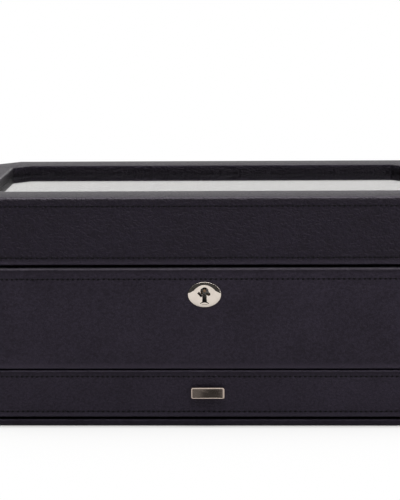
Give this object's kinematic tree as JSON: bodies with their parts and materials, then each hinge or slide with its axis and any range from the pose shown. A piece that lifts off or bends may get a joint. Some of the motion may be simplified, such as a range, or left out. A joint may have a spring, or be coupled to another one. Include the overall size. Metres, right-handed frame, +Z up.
{
  "type": "watch box",
  "caption": "Leather covered watch box with canted corners, a hinged glass-topped lid with a lock, a divided tray with cushions and a pull-out drawer below.",
  "frame": {"origin": "centre of the underside of the base", "axes": "+X to the right along the front, +Y to the back, +Z up; the front faces -Y"},
  "size_m": [0.343, 0.1966, 0.15],
  "materials": {
    "black_leather": "black leatherette, fine grain, stitched edges",
    "board": "medium density fibreboard",
    "suede": "flocked suede lining, dark grey",
    "cushion_suede": "stuffed suede cushion",
    "felt": "felt",
    "nickel": "polished nickel plate",
    "dark_nickel": "polished dark nickel",
    "steel": "plated steel",
    "drawer_wrap": "black paper-wrapped board",
    "glass": "clear plate glass"
  },
  "bodies": {
    "case": {"base_pad": "felt", "base_board": "board", "base_cover": "black_leather", "case_front": "board", "case_back": "board", "case_left": "board", "case_right": "board", "corner_posts": "board", "case_cover": "black_leather", "deck_board": "board", "tray_wall": "suede", "tray_floor": "suede", "divider_long": "suede", "dividers_cross": "suede", "cushions_front": "cushion_suede", "cushions_back": "cushion_suede", "escutcheon": "nickel", "lock_case": "steel", "lock_pin": "dark_nickel", "hinge_leaves_case": "steel", "hinge_pins": "steel", "hinge_screws_case": "steel", "drawer_guides": "board", "drawer_runners": "felt", "drawer_stop": "board"},
    "lid": {"keeper_plate": "steel", "keeper_screws": "steel", "hinge_leaves_lid": "steel", "hinge_screws_lid": "steel", "lid_front": "board", "lid_back": "board", "lid_left": "board", "lid_right": "board", "lid_corners": "board", "lid_frame": "board", "lid_cover": "black_leather", "lid_lining": "suede", "glass": "glass", "glass_bead": "suede"},
    "drawer": {"drawer_front": "board", "drawer_cover": "black_leather", "drawer_sides": "drawer_wrap", "drawer_back": "drawer_wrap", "drawer_bottom": "board", "drawer_lining": "suede", "drawer_pull": "dark_nickel", "pull_screws": "steel"},
    "lock_bolt": {"lock_bolt": "steel"}
  },
  "joints": [
    {"name": "lid_hinge", "type": "hinge", "parent": "case", "child": "lid", "pos_m": [0, 0.0925, 0.1052], "axis": [-1, 0, 0], "range_deg": [0, 95]},
    {"name": "drawer_slide", "type": "slide", "parent": "case", "child": "drawer", "axis": [0, -1, 0], "range_m": [0, 0.118]},
    {"name": "bolt_slide", "type": "slide", "parent": "case", "child": "lock_bolt", "axis": [1, 0, 0], "range_m": [0, 0.005]}
  ]
}
